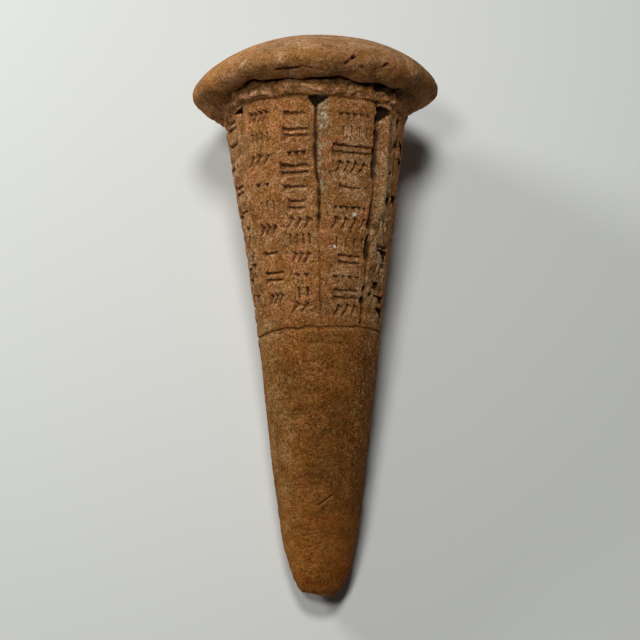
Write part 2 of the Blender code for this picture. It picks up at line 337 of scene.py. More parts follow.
def pressStroke(clay, turn, station, start, end, head, tail, depth, fade, burr=0.09):
    # one stylus stroke from start to end, both (across, up) in mm from the place (turn, station)
    radius = float(shaftRadius(station))
    reach = max(abs(start[0]), abs(end[0])) + 3 * head
    tall = max(abs(start[1]), abs(end[1])) + 3 * head
    away = roundAway(clay.turn, turn)
    near = (np.abs(away) < math.degrees(reach / radius)) & (np.abs(clay.station - station) < tall)
    near = np.flatnonzero(near & ~clay.onDome)
    x = np.radians(away[near]) * clay.radius[near] - start[0]
    y = clay.station[near] - station - start[1]
    dx, dy = end[0] - start[0], end[1] - start[1]
    length = max(math.hypot(dx, dy), 0.01)
    along = (x * dx + y * dy) / length
    across = (y * dx - x * dy) / length
    share = along / length
    half = tail + (head - tail) * ease(1.0 - share / 0.45)
    half = half * (1 + stylus["ragged"] * cloud(clay.points[near], stylus["raggedSize"], 3))
    lean = stylus["lean"] * (dx * stylus["steepSide"][1] - dy * stylus["steepSide"][0]) / length
    side = across / half
    section = np.where(side > lean, (1 - side) / (1 - lean), (1 + side) / (1 + lean))
    ends = unit((along + 0.1) / 0.22) * unit((length - along) / 0.5)
    body = unit(ends * 2)
    sunk = depth * (1 - fade * unit(share)) * unit(section * 1.15) * ends
    # painted shade along the foot of the steep side, which faces away from the light, and over the whole
    # cut; a little of it is grime
    foot = 1 - np.abs(side - lean) * half / np.maximum(0.6 * half, stylus["shadeGrimeHalf"])
    shadeGrime = unit(foot * 1.4) * unit(sunk * 2.2) + 0.35 * unit(sunk / 0.6)
    clay.carve(near, sunk, shadeGrime)
    give = stylus["giveDeep"] * depth * bell(across, stylus["giveWide"]) * body
    clay.most("give", give, near)
    # painted highlight on the lip of the side that faces the light
    out, wide, much = stylus["lip"]
    litSide = (-side * np.sign(lean) - 1) * half - out
    litEdgeHighlight = much * min(1, abs(lean) * 3) * min(1, depth * 1.6) * bell(litSide, wide) * body
    clay.most("paleAndLit", litEdgeHighlight, near)
    lip = burr * bell(np.abs(side) - 1.45, 0.4) * body
    clay.most("height", np.where(sunk > 0, clay.height[near], lip), near)


def pressWedge(clay, turn, station, corners, depth, dark=1.0):
    # a three-cornered dent, deep along the edge between the first two corners, shallow at the third
    x = np.radians(roundAway(clay.turn, turn)) * clay.radius
    y = clay.station - station
    reach = stylus["wedgeReach"]
    near = (np.abs(x) < reach) & (np.abs(y) < reach) & ~clay.onDome & (clay.radius < stylus["wedgeRadius"])
    near = np.flatnonzero(near)
    x, y = x[near], y[near]
    shares = []
    for k in range(3):
        (x1, y1), (x2, y2), (x3, y3) = corners[k], corners[(k + 1) % 3], corners[(k + 2) % 3]
        whole = (x2 - x1) * (y3 - y1) - (x3 - x1) * (y2 - y1)
        shares.append(((x2 - x) * (y3 - y) - (x3 - x) * (y2 - y)) / whole)
    size, much = stylus["wedgeRagged"]
    inside = np.minimum.reduce(shares) + much * cloud(clay.points[near], size, 8)
    sunk = depth * unit(inside * 7) * (1 - stylus["wedgeRise"] * unit(shares[2]))
    clay.carve(near, sunk, sunk / 0.8)
    # painted shadow: black along the deep edge, fading towards the shallow corner
    shadowBlack = unit(inside * 20 + 0.8) * (1 - ramp(0.75, 1.05, shares[2]))
    clay.most("deepShadow", dark * shadowBlack * min(1.0, depth / 1.3), near)
    # painted highlight, as on a lit lip, along the outside of the two edges that run to the shallow corner
    beyond = np.abs(np.minimum(shares[0], shares[1]) + 0.1)
    litEdgeHighlight = 0.8 * unit(1 - beyond / 0.12) * ramp(-0.05, 0.15, shares[2])
    clay.most("paleAndLit", np.where(inside < 0, litEdgeHighlight, 0), near)


# Rows of plain strokes that are no letters. Each stroke is (x0, y0, x1, y1, weight, head): above 0 it
# starts wider than a drawn line, below 0 it is narrower all along, and stabHead makes a three-cornered dent.
stabHead = -2.0


def bars(wide, count=1, pitch=1.5):
    top = 0.5 * (count - 1) * pitch
    rows = [top - k * pitch for k in range(count)]
    return [(-wide / 2, row, wide / 2, row, 1.0, 0.8) for row in rows]


def stab(wide, slope=0.0, across=0.0):
    return [(across - wide / 2, slope, across + wide / 2, -slope, 1.5, stabHead)]


def teeth(wide, tall, count):
    gap = wide / (count - 1)
    places = [-wide / 2 + k * gap for k in range(count)]
    return [(place, tall / 2, place + 0.1, -tall / 2, 1.1, -0.4) for place in places]


def slants(wide, tall, count):
    gap = wide / count
    ends = [(-wide / 2 + (k + 0.8) * gap, -wide / 2 + k * gap) for k in range(count)]
    return [(top, tall / 2, foot, -tall / 2, 1.0, 1.0) for top, foot in ends]


writing = {
    "seed": 11,
    # how far the ends of a stroke stray
    "unsteady": 0.12,
    # plain rows of the face, one band after another: (left turn, right turn, row pitch, weight)
    "bands": [
        (-50, -28, 5, 1.2), (-24, -3, 3.9, 1.2), (9, 41, 4, 1.1), (50, 72, 5.4, 1.7),
        (-84, -57, 5.2, 1.3),
    ],
    "bandTop": 108.5,
    "strokeTall": 2.4,
    "strokeGap": (1.5, 2.4),
    "rowStab": (1.7, 0.2),
    "rowKinds": 5,
    # lone black three-cornered dents of the side strips: (turn, station, width, height, depth)
    "dents": [
        (61, 77.8, 4.8, 3.2, 1.3), (56, 70.6, 3.2, 2.4, 1.2), (66, 67.8, 5, 2.2, 1.2),
        (68, 64.8, 5, 2.6, 1.3), (76, 103.4, 4.6, 3, 1.4), (77, 100, 4.2, 2.4, 1.2),
        (60, 90.2, 2.6, 2.4, 1.2), (70, 90.8, 3.6, 3, 1.3), (-80, 98.6, 5, 1.8, 0.9),
        (-80, 87.6, 4.2, 1.6, 0.9), (-66, 84.2, 2.6, 1.4, 0.7), (-64, 75.4, 2.8, 2.2, 0.7),
        (-76, 75, 4.6, 1.7, 0.9), (-78, 72.6, 4.2, 1.5, 0.8),
    ],
    # rows of strokes down the two outer edges: (turn, spacing, share of long strokes)
    "edges": [(-88, 3.1, 0.55), (91, 4.6, 0.3)],
    "edgeTop": 104,
    "edgeReach": (2.8, 4.4),
    "edgeFirm": (0.5, 1.1),
    "edgeStab": (2.4, 3.6),
    "notch": (0.8, 0.36),
    # rows that face away: their pitch, the room left free beside them, the narrowest column that has any
    "rowPitch": 5.4,
    "margin": 2.4,
    "narrowest": 3,
    "hiddenTop": 105.5,
    "hiddenBottom": 64.5,
    "shoulderTurns": (86.0, -86.0),
}


def pressMark(clay, turn, station, weight, strokes, chance):
    unsteady = writing["unsteady"]
    for x0, y0, x1, y1, heavy, start in strokes:
        wobble = chance.uniform(-unsteady, unsteady, 4) * (0.3 if -1 < start < 0 else 1.0)
        firm = weight * heavy
        if start == stabHead:
            half = 0.5 * stylus["headWidth"] * (0.5 + 0.5 * firm)
            corners = ((x0, y0 + 0.2 * half), (x1, y1 + half), (x0 + 0.62 * (x1 - x0), y1 - half))
            deep = stylus["depth"] * (0.3 + 0.6 * firm)
            pressWedge(clay, turn, station, corners, deep, stylus["stabShadow"])
            continue
        tail = stylus["tailWidth"] * (0.3 + 0.7 * firm)
        head = tail + max(start, 0) * (stylus["headWidth"] - stylus["tailWidth"]) * (0.4 + 0.6 * firm)
        tail, head = tail * (1 + min(start, 0)), head * (1 + min(start, 0))
        pressStroke(
            clay, turn, station, (x0 + wobble[0], y0 + wobble[1]), (x1 + wobble[2], y1 + wobble[3]),
            head=head, tail=tail, depth=stylus["depth"] * (0.35 + 0.65 * firm) * chance.uniform(0.85, 1.15),
            fade=0.2 + 0.4 * max(start, 0),
        )


def plainRow(wide, kind, chance):
    # one row of separate strokes, all of one kind
    tall = writing["strokeTall"]
    count = max(2, round(wide / chance.uniform(*writing["strokeGap"])))
    gap = wide / count
    if kind == 0:
        return slants(wide, tall, count)
    if kind == 1:
        return bars(wide * chance.uniform(0.7, 1.0))
    if kind == 2:
        return sum((stab(*writing["rowStab"], (k + 0.5) * gap - wide / 2) for k in range(count)), [])
    if kind == 3:
        return teeth(wide - gap, tall, count)
    return bars(wide, 2)


def pressBands(clay, chance):
    # the rows of the written face
    for first, (left, right, pitch, weight) in enumerate(writing["bands"]):
        station, kind = writing["bandTop"], first
        while station > writing["hiddenBottom"]:
            wide = math.radians(right - left) * float(shaftRadius(station)) * chance.uniform(0.65, 0.95)
            turn = 0.5 * (left + right) + chance.uniform(-1.5, 1.5)
            firm = weight * chance.uniform(0.75, 1.25)
            strokes = plainRow(wide, kind % writing["rowKinds"], chance)
            pressMark(clay, turn, station, firm, strokes, chance)
            station -= pitch * chance.uniform(0.85, 1.15)
            kind += int(chance.integers(1, 4))


def pressDents(clay):
    for turn, station, wide, tall, depth in writing["dents"]:
        corners = ((-wide / 2, tall / 2), (wide / 2, tall * 0.4), (0.2 * wide, -tall / 2))
        pressWedge(clay, turn, station, corners, depth)


def pressEdges(clay, chance):
    half, depth = writing["notch"]
    for turn, pitch, often in writing["edges"]:
        for station in np.arange(writing["hiddenBottom"] - 1, writing["edgeTop"], pitch):
            turned, place = turn + chance.uniform(-2, 2), float(station) + chance.uniform(-0.9, 0.9)
            reach, firm = chance.uniform(*writing["edgeReach"]), chance.uniform(*writing["edgeFirm"])
            if chance.uniform() < often:
                ends = (-reach, chance.uniform(-0.4, 0.4)), (reach, chance.uniform(-0.4, 0.4))
                wide = half * (0.6 + 0.4 * firm)
                pressStroke(clay, turned, place, *ends, wide, half * 0.7, depth * firm, fade=0.1, burr=0.0)
            else:
                dent = stab(chance.uniform(*writing["edgeStab"]))
                pressMark(clay, turned, place, 1.6 * firm, dent, chance)


def pressHiddenRows(clay, chance):
    # the columns that face away lie between the rules from the right shoulder round to the left one
    firstTurn, lastTurn = writing["shoulderTurns"]
    ruled = [rule["turn"] for rule in rules["lines"][3:]] + [rules["lines"][0]["turn"] + 360]
    for left, right in zip(ruled, ruled[1:]):
        left, right = max(left, firstTurn), min(right, lastTurn + 360)
        station = writing["hiddenTop"]
        while station > writing["hiddenBottom"]:
            wide = math.radians(right - left) * float(shaftRadius(station)) - writing["margin"]
            turn = 0.5 * (left + right) + chance.uniform(-2, 2)
            if wide > writing["narrowest"]:
                wide = wide * chance.uniform(0.55, 0.95)
                strokes = plainRow(wide, int(chance.integers(0, writing["rowKinds"])), chance)
                pressMark(clay, turn, station, chance.uniform(0.7, 1.2), strokes, chance)
            station -= writing["rowPitch"] * chance.uniform(0.85, 1.15)


def writeColumns(clay):
    chance = np.random.default_rng(writing["seed"])
    pressBands(clay, chance)
    pressDents(clay)
    pressEdges(clay, chance)
    pressHiddenRows(clay, chance)


# rules, ring and collar

rules = {
    "bottom": 61.4,
    "top": 111.2,
    "reach": 5,
    # left and right are the half widths of the two walls, lime is how much pale crust is left in it,
    # ridge is the clay heaped up beyond the right wall
    "lines": [
        {"turn": -53, "left": 0.6, "right": 1.0, "depth": 0.25, "lime": 0.2, "whole": 96, "ridge": 0.0},
        {
            "turn": 1, "left": 0.62, "right": 0.5, "depth": 1.15, "lime": 1.0, "whole": 84, "limeTo": 91,
            "ridge": 0.0,
            # a ledge right of the line, where the crust lies: width, width at the top, depth
            "ledge": (1.35, 2.9, 0.42),
        },
        {"turn": 43, "left": 1.05, "right": 0.9, "depth": 1.4, "lime": 0.12, "whole": 60, "ridge": 0.95},
        {"turn": 67, "left": 0.7, "right": 0.9, "depth": 1.0, "lime": 0.0, "whole": 97, "ridge": 0.0},
        {"turn": 92, "left": 0.6, "right": 1.2, "depth": 0.6, "lime": 0.3, "whole": 70, "ridge": 0.0},
        {"turn": 143, "left": 0.5, "right": 0.9, "depth": 0.6, "lime": 0.3, "whole": 66, "ridge": 0.0},
        {"turn": 195, "left": 0.5, "right": 0.9, "depth": 0.55, "lime": 0.3, "whole": 74, "ridge": 0.0},
        {"turn": 250, "left": 0.6, "right": 1.1, "depth": 0.6, "lime": 0.3, "whole": 64, "ridge": 0.0},
    ],
    "wander": (9.0, 0.30),
    "shake": (1.6, 0.13),
    "uneven": (1.4, 0.50),
    "brokenGap": 3.5,
    "heapedFrom": 87,
    # where each rule starts the stylus left a three-cornered pit: (turn, station, corners, depth)
    "pits": [
        (-55, 111.2, ((0.8, 1.1), (0.9, -0.8), (-3.4, -0.3)), 1.7),
        (1, 111.4, ((-2.3, 1.2), (2.7, 1.0), (-0.7, -1.9)), 2.2),
        (45, 109.8, ((-1.9, -2.9), (-1.5, 2.3), (2.9, 0.5)), 2.6),
        (92, 111.3, ((-1.6, 0.8), (1.8, 0.6), (0.4, -1.5)), 1.4),
        (143, 111.3, ((-1.5, 0.8), (1.6, 0.6), (0.2, -1.5)), 1.4),
        (195, 111.3, ((-1.4, 0.8), (1.5, 0.6), (0.2, -1.4)), 1.4),
        (250, 111.3, ((-1.5, 0.8), (1.6, 0.6), (0.2, -1.5)), 1.4),
    ],
}


def pressRule(clay, rule):
    # below "whole" the rule thins and breaks up
    along = np.stack([clay.station, np.full_like(clay.station, rule["turn"]), clay.station * 0], 1)
    wander = sum(cloud(along, size, 5) * reach for size, reach in (rules["wander"], rules["shake"]))
    away = np.radians(roundAway(clay.turn, rule["turn"])) * clay.radius - wander
    ruled = (clay.level < rules["top"]) & (clay.station > rules["bottom"] - 1)
    near = np.flatnonzero((np.abs(away) < rules["reach"]) & ruled)
    x, station = away[near], clay.station[near]
    faded = 1 - ramp(rule["whole"] + 2, rule["whole"] - 3, station)
    broken = 0.42 + 0.3 * cloud(along[near], rules["brokenGap"], 12)
    strength = np.maximum(faded, unit(broken))
    limeTo = rule.get("limeTo", rule["whole"])
    limy = 1 - ramp(limeTo + 3, limeTo - 4, station)
    size, much = rules["uneven"]
    firm = (0.45 + 0.55 * faded) * np.clip(1 + much * cloud(along[near], size, 15), 0.4, 1.5)
    left, right = rule["left"] * firm, rule["right"] * firm
    wall = np.where(x < 0, 1 + x / left, 1 - x / right)
    ends = ramp(rules["bottom"] - 0.4, rules["bottom"] + 1, station)
    sunk = rule["depth"] * strength * unit(wall) ** 1.2 * ends
    clay.carve(near, sunk, sunk / 0.7)
    # painted shade: the deepest part of the groove is darkened towards black
    clay.most("deepShadow", np.clip(1.5 * sunk * firm - 0.9, 0, 0.75), near)
    reach = right
    if "ledge" in rule:
        low, high, deep = rule["ledge"]
        reach = low + (high - low) * ramp(102, 108, station) + 0.3 * cloud(along[near], 1.1, 14)
        ledge = deep * limy * ends * unit((x + 0.2) / 0.3) * unit((reach - x) / 0.4)
        clay.carve(near, ledge, 0 * ledge)
    crest = 1 - np.abs(x - 3.1) / np.where(x < 3.1, 2.5, 1.9)
    heaped = ramp(rules["heapedFrom"] - 2, rules["heapedFrom"] + 2, station)
    clay.height[near] += rule["ridge"] * ease(crest) * np.clip(crest * 1.5, 0.3, 1) * heaped
    crust = unit((x - 0.25) / 0.25) * unit((reach + 0.1 - x) / 0.3) * limy * ends
    clay.most("lime", crust * rule["lime"], near)


ring = {
    "path": [
        (-180, 60.6), (-120, 60.3), (-78, 59.7), (-62, 60.0), (-47, 60.2), (-29, 60.9), (-20, 60.7),
        (-8, 60.9), (2, 60.8), (20, 60.9), (45, 61.1), (58, 60.9), (110, 60.5), (180, 60.6),
    ],
    "second": [(-62, 59.4), (-44, 59.6), (-32, 59.5), (-20, 57.9), (-6, 57.5), (8, 57.7)],
    # how thin and shallow the second, shorter line is beside the first, and which turns it covers
    "secondShare": (0.8, 0.45),
    "secondTurns": (-62, 8),
    "half": 0.34,
    "depth": 0.48,
    "lip": 0.10,
    "litLipHighlight": 0.6,
    "wander": (1.5, 0.16),
}


def pressLineRound(clay, path, half, depth, first=-181, last=181):
    # a line drawn round the shaft by hand, with the clay it pushed up below it
    size, reach = ring["wander"]
    y = clay.station - (curveThrough(path, clay.turn) + cloud(clay.points, size, 6) * reach)
    here = ~clay.onDome & (clay.turn > first) & (clay.turn < last)
    ends = np.where(here, within((first, first + 6, last - 6, last), clay.turn), 0)
    wall = np.where(y > 0, 1 - y / half, 1 + y / (1.6 * half))
    sunk = depth * unit(wall) * ends
    clay.carve(slice(None), sunk, sunk / 0.75)
    clay.height += ring["lip"] * bell(y + 1.1, 0.7) * ends
    # painted highlight on the pushed-up clay below the line, on the left of the face
    litLipHighlight = ring["litLipHighlight"] * bell(y + 0.8, 0.35) * ends * ramp(-15, -45, clay.turn)
    clay.most("paleAndLit", litLipHighlight)


neck = {
    "from": 109,
    "underRadius": 24.5,
    "creaseHalf": 1.3,
    "creaseDepth": 1.3,
    "creaseTurns": (-24, 44),
    "creaseFade": 34,
    "collarTurns": (-80, -52, 48, 76),
    "ledgeLevel": 112.1,
    "ledgeTall": 0.5,
    "grooveHalf": 0.3,
    "grooveDepth": 0.5,
    # how far the crease and the groove wander up and down, and how crumbly they are
    "wander": (3.0, 0.55),
    "crumble": (1.4, 0.7),
    "lumps": (1.3, 0.40),
    # round the left side the collar is pressed flat: (turn, half of it round, level, depth)
    "flattened": (-98, 32, 112.2, 0.65),
    # towards the left the lip runs into the shaft in one soft sweep
    "sweepTurns": (-84, -68, -54, -32),
    "sweepReach": 2.4,
    "sweepFill": 1.1,
    # over the written face the lip rolls in under itself: how far, from which station, round which turns
    "rollIn": 3.2,
    "rollFrom": 122.0,
    "rollBend": 1.7,
    "rollTurns": (-66, -24, 48, 84),
    # and how far up its lower edge is pressed: (turn, lift)
    "rollUp": [(-180, 0.0), (-66, 0.0), (-30, 1.6), (-12, 1.6), (9, 1.4), (24, 0.2), (50, 0.0), (180, 0.0)],
    "rollUneven": (3.2, 0.30),
}


def rollLip(points, turn, radius, level):
    front = within(neck["rollTurns"], turn)
    bottom = cone["rimStation"] - cone["lipDrop"]
    share = unit((neck["rollFrom"] - level) / (neck["rollFrom"] - bottom))
    outer = unit((radius - cone["neck"][0]) / (cone["rimRadius"] - cone["lipRounding"] - cone["neck"][0]))
    size, much = neck["rollUneven"]
    uneven = cloud(points, size, 45) * much * front
    rolled = share ** neck["rollBend"]
    inwards = (neck["rollIn"] * rolled + 0.5 * uneven * share) * outer * front / radius.clip(1)
    lifted = np.minimum(rolled, ramp(cone["collarGroove"][1] + 0.6, cone["neck"][1], level))
    lift = (easeRound(neck["rollUp"], turn) + uneven) * lifted
    points = points * np.stack([1 - inwards, 1 - inwards, np.ones(len(points))], axis=1)
    points[:, 2] += lift
    return points


def pressNeck(clay):
    first, last = neck["creaseTurns"]
    fade = neck["creaseFade"]
    front = within((first - fade, first, last, last + fade), clay.turn)
    under = ~clay.onDome & (clay.level > neck["from"]) & (clay.radius < neck["underRadius"])
    size, reach = neck["wander"]
    unsteady = cloud(clay.points, size, 41) * front
    level = clay.level + reach * unsteady
    size, much = neck["crumble"]
    crumble = 1 + much * cloud(clay.points, size, 42)
    crease = 1 - np.abs(level - cone["neck"][1]) / neck["creaseHalf"]
    sunk = neck["creaseDepth"] * unit(crease * crumble) * np.where(under, 0.2 + 0.8 * front, 0)
    # painted shadow in the crease under the lip
    creaseShadow = np.clip(1.5 * crease * crumble, 0, 0.9) * np.where(under, front ** 2, 0)
    clay.most("deepShadow", creaseShadow)
    groove = 1 - np.abs(clay.level + 0.2 * unsteady - cone["collarGroove"][1]) / neck["grooveHalf"]
    groove = unit(groove * (0.5 + 0.5 * crumble) * 1.6) * np.where(under, 0.3 + 0.7 * front, 0)
    left = within(neck["sweepTurns"], clay.turn)
    sunk = np.maximum(sunk * (1 - left), neck["grooveDepth"] * groove * (1 - ramp(-50, -58, clay.turn)))
    clay.carve(slice(None), sunk, sunk / 0.8)
    size, tall = neck["lumps"]
    collar = np.where(under, ramp(111.2, 112.2, clay.level), 0)
    calm = 1 - 0.8 * np.maximum(ramp(-66, -84, clay.turn), ramp(60, 78, clay.turn))
    clay.height += tall * cloud(clay.points, size, 43) * collar * calm
    turn, wide, middle, deep = neck["flattened"]
    flat = ramp(wide, 0.5 * wide, np.abs(roundAway(clay.turn, turn))) * bell(clay.level - middle, 1.3)
    clay.height -= deep * np.where(under, flat, 0)
    collar = collar * within(neck["collarTurns"], clay.turn)
    ledge = bell(clay.level + 0.4 * unsteady - neck["ledgeLevel"], 0.6) * collar
    clay.height += neck["ledgeTall"] * ledge * crumble
    # painted highlight: the collar's ledge is made paler and pinker, as if lit, in the same colour as the
    # broken tip
    clay.most("rawAndLit", ledge * np.clip(1.0 + 1.2 * cloud(clay.points, 1.5, 44), 0, 1.3))
    # painted shade on the collar's upper band, just under the lip, put in with the stains
    shadowed = collar * ramp(112.3, 113.4, clay.level + unsteady)
    clay.most("stainAndShade", shadowed * unit(0.7 + 1.2 * cloud(clay.points, 1.2, 46)))
    corner = (clay.level - cone["neck"][1]) ** 2 + (clay.radius - cone["neck"][0]) ** 2
    sweep = np.exp(-corner / neck["sweepReach"] ** 2) * np.where(clay.onDome, 0, left)
    clay.height += neck["sweepFill"] * sweep


# patches of colour: (turn, station, half the width, half the height, strength)

patches = {
    # some pale patches are painted light: the two on the crown at station 126 (partly the head's paler
    # clay), the highlights at (-13, 116.6) and (-44, 117.2), and the two at turn 24 that brighten the less
    # lit right of the face
    "paleAndLit": [
        (5, 108.6, 1.3, 2.2, 0.7), (28.5, 86.3, 1.5, 1.1, 2.3), (13, 79, 0.35, 0.5, 1.1),
        (45, 83, 0.7, 2.4, 0.9), (42, 76, 0.6, 3, 0.8), (43, 71.8, 0.9, 1.2, 0.8),
        (-2, 63.6, 0.5, 0.4, 1), (-38, 33, 1.6, 3, 0.6), (-52, 44, 5, 16, 0.35), (-64, 104, 3, 6, 0.35),
        (1, 50, 0.25, 11, 0.25), (24, 97, 6, 14, 0.75), (24, 72, 5, 10, 0.50), (50, 98, 4, 14, 0.40),
        (57, 80, 3, 10, 0.35), (-16, 92, 4, 16, 0.25), (-4, 8, 6, 7, 0.35), (50, 123.5, 12, 5, 0.75),
        (-13, 116.6, 2.6, 0.5, 0.75), (-44, 117.2, 3, 1.4, 0.50), (12, 117.2, 0.8, 1.6, 0.6),
        (0, 126, 30, 8, 0.70), (180, 126, 30, 8, 0.5),
    ],
    "stainAndShade": [
        # the patches from station 113.4 to 118.4 under the lip and over the collar, and the one at the tip's
        # end (0, 1), are painted shade; the rest are stains
        (-38, 47, 3.6, 5, 0.9), (-52, 44, 4, 10, 0.5), (-33, 55.6, 1.6, 1.6, 0.7), (12, 53, 1, 1, 0.9),
        (60, 50, 5, 10, 0.8), (62, 30, 4.5, 12, 0.7), (9, 38.2, 2.6, 1.6, 1), (52, 46, 2.4, 2.6, 0.9),
        (44, 54, 5, 5, 0.6), (-36, 48, 5, 9, 0.55), (54, 38, 4, 8, 0.6), (22, 68, 4, 4, 0.5),
        (16, 42, 5, 4, 0.4), (-6, 18.6, 2.4, 1.4, 0.4), (20, 86.8, 2, 1, 0.9), (15, 66, 2.4, 6, 0.6),
        (14, 90, 2.4, 2.4, 0.6), (-30, 88, 4, 4, 0.4), (-45, 93, 2, 3, 0.4), (62, 116, 6, 2.4, 0.7),
        (-62, 114.5, 5, 2.4, 0.6), (0, 113.4, 30, 0.7, 0.35), (0, 28, 8, 9, 0.50), (0, 1, 7, 1.4, 0.7),
        (-4, 118.4, 26, 2.2, 0.60), (-14, 115, 14, 0.8, 0.8), (150, 80, 6, 12, 0.6),
        (-140, 40, 6, 14, 0.5),
    ],
    "dustyAndLit": [
        # the two patches at turn 57 are painted light that brightens the less lit right strip
        (57, 96, 3.6, 16, 0.60), (57, 74, 3.8, 14, 0.60), (-62, 48, 5.5, 18, 0.45),
        (-60, 24, 4.5, 20, 0.40), (-66, 80, 4, 26, 0.12), (70, 50, 4, 12, 0.25),
    ],
    "ragged": (2.6, 0.45),
}


def spreadPatches(clay):
    size, much = patches["ragged"]
    uneven = much * cloud(clay.points, size, 51)
    for name in ("paleAndLit", "stainAndShade", "dustyAndLit"):
        for turn, station, wide, tall, strength in patches[name]:
            x = np.radians(roundAway(clay.turn, turn)) * clay.radius / wide
            y = (clay.station - station) / tall
            spread = strength * ramp(1.25, 0.35, np.sqrt(x * x + y * y) + uneven)
            clay.most(name, spread)


# the surface of the clay itself

surface = {
    "swell": (17.0, 0.22),
    "thumbs": (6.0, 0.10),
    "knead": (2.2, 0.065),
    "grain": (0.8, 0.045),
    "headThumbs": (9.0, 0.18),
    # strips where the clay crumbled: (turn, half of it round, from, to), then how coarse and how deep
    "crumbled": [(-69, 17, 62, 110), (57, 13, 62, 88)],
    "crumbs": (1.2, 0.17),
    # how strong the fine speckle is: on the head, the written face, the plain shaft, the tip, its right side
    "coarse": (0.60, 1.2, 1.05, 0.5, 1.6),
    # stations over which it changes, and the turns at which the right side begins
    "tipEnds": (14, 30),
    "rightStarts": (24, 34),
    "fieldStarts": (58, 64),
    "headStarts": (113, 117),
    "rightTurns": (28, 45),
    "pitCount": 420,
    "sandCount": 500,
    "grainSize": (0.22, 0.55),
    "grainTall": (0.05, 0.16),
    "grainReach": 2,
    "sunk": 0.12,
    "seed": 7,
}


def roughenClay(clay):
    # the dome was smoothed more than the rest
    calm = 1 - 0.7 * ramp(1, 6, clay.level - cone["rimStation"])
    for seed, name in enumerate(("swell", "thumbs", "knead", "grain")):
        size, tall = surface[name]
        clay.height += cloud(clay.points, size, surface["seed"] + seed) * tall * calm
    size, tall = surface["crumbs"]
    rough = cloud(clay.points, size, surface["seed"] + 8) * tall
    for turn, wide, low, high in surface["crumbled"]:
        here = ramp(wide, 0.7 * wide, np.abs(roundAway(clay.turn, turn)))
        here = here * ramp(low, low + 2, clay.station) * ramp(high, high - 2, clay.station)
        clay.height += rough * here
        # the crumbs' colour follows their height: painted shade in the low gaps, painted highlight on the
        # raised tops
        clay.most("stainAndShade", here * np.clip(-3 * rough / tall, 0, 0.8))
        clay.most("paleAndLit", here * np.clip(2.4 * rough / tall - 0.6, 0, 0.7))
    onHead, onFace, onShaft, onTip, onRight = surface["coarse"]
    inField = ramp(*surface["fieldStarts"], clay.station)
    clay.coarse = onTip + (onShaft - onTip) * ramp(*surface["tipEnds"], clay.station)
    clay.coarse += (onFace - onShaft) * inField
    right = ramp(*surface["rightTurns"], clay.turn) * (1 - inField)
    right = right * ramp(*surface["rightStarts"], clay.station)
    clay.coarse += (onRight - clay.coarse) * right
    clay.coarse += (onHead - onFace) * ramp(*surface["headStarts"], clay.station)
    size, tall = surface["headThumbs"]
    clay.height += cloud(clay.points, size, surface["seed"] + 9) * tall * ramp(112, 119, clay.station) * calm


def scatterGrains(clay):
    # sand that fell out leaves pits, sand still in the clay stands proud
    chance = np.random.default_rng(surface["seed"])
    top, reach = cone["rimStation"], surface["grainReach"]
    for k in range(surface["pitCount"] + surface["sandCount"]):
        level, turn = chance.uniform(2, top), chance.uniform(-180, 180)
        size, tall = chance.uniform(*surface["grainSize"]), chance.uniform(*surface["grainTall"])
        if chance.uniform() > 0.35 + 0.65 * level / top:
            continue
        beside = np.abs(roundAway(clay.turn, turn)) < math.degrees(reach / float(shaftRadius(level)))
        near = np.flatnonzero((np.abs(clay.level - level) < reach) & beside)
        x = np.radians(roundAway(clay.turn[near], turn)) * clay.radius[near]
        bump = tall * np.exp(-((x / size) ** 2 + ((clay.level[near] - level) / size) ** 2))
        clay.height[near] += bump * (0.6 if k >= surface["pitCount"] else -1.0)


head = {
    "from": 112.5,
    # outside this radius or above this level a point is on the outer side
    "outerRadius": 25,
    "outerLevel": 121,
    # broken lines in the clay of the lip: (places as (turn, station), half width, depth)
    "lines": [
        ([(18.5, 120.3), (14.5, 118.2)], 0.55, 2.2),
        ([(15, 118.4), (12, 117.0), (13, 115.4)], 0.5, 0.5),
        ([(-8, 117.3), (-13, 117.3), (-19, 117.3)], 0.5, 1.2),
        ([(-6, 117.5), (5, 116.8)], 0.3, 0.4),
        ([(27, 120.6), (28, 119.8)], 0.4, 0.8),
        ([(36, 119.0), (35, 118.2)], 0.7, 1.4),
        ([(22, 117.6), (30, 116.0)], 0.6, 0.6),
        ([(30, 117.6), (36, 115.6)], 0.6, 0.35),
        ([(56, 118.6), (62, 115.8)], 0.4, 0.3),
        ([(48, 119.2), (60, 117.6)], 0.35, 0.25),
    ],
    # (turn, station, reach, height) swellings and hollows
    "lumps": [
        (-46, 117.4, 2.2, 0.6), (-36, 116.4, 1.8, -0.55), (-11, 115.9, 2.2, 0.5), (34, 118, 2.2, -0.7),
        (9, 118.4, 1.8, 0.5), (55, 118.6, 1.3, 0.4), (5, 117.6, 3.4, 0.45), (50, 118.2, 2.6, 0.35),
        (86, 116.8, 1.4, -0.4), (-86, 117.2, 6, 0.5), (-30, 121.5, 5, 0.35), (4, 121, 5, 0.30),
        (50, 120.6, 4, 0.30), (10, 128, 7, -0.35), (140, 124, 6, -0.40), (-130, 123, 6, 0.30),
        (-90, 113.6, 3, 0.9), (88, 126.5, 8, -0.45),
    ],
}


def placeOn(clay, turn, station):
    # the point of the head's outer side at this place
    off = (np.radians(roundAway(clay.turn, turn)) * clay.radius) ** 2 + (clay.station - station) ** 2
    outside = (clay.radius > head["outerRadius"]) | (clay.level > head["outerLevel"])
    off = np.where(outside, off, np.inf)
    return clay.points[np.argmin(off)]


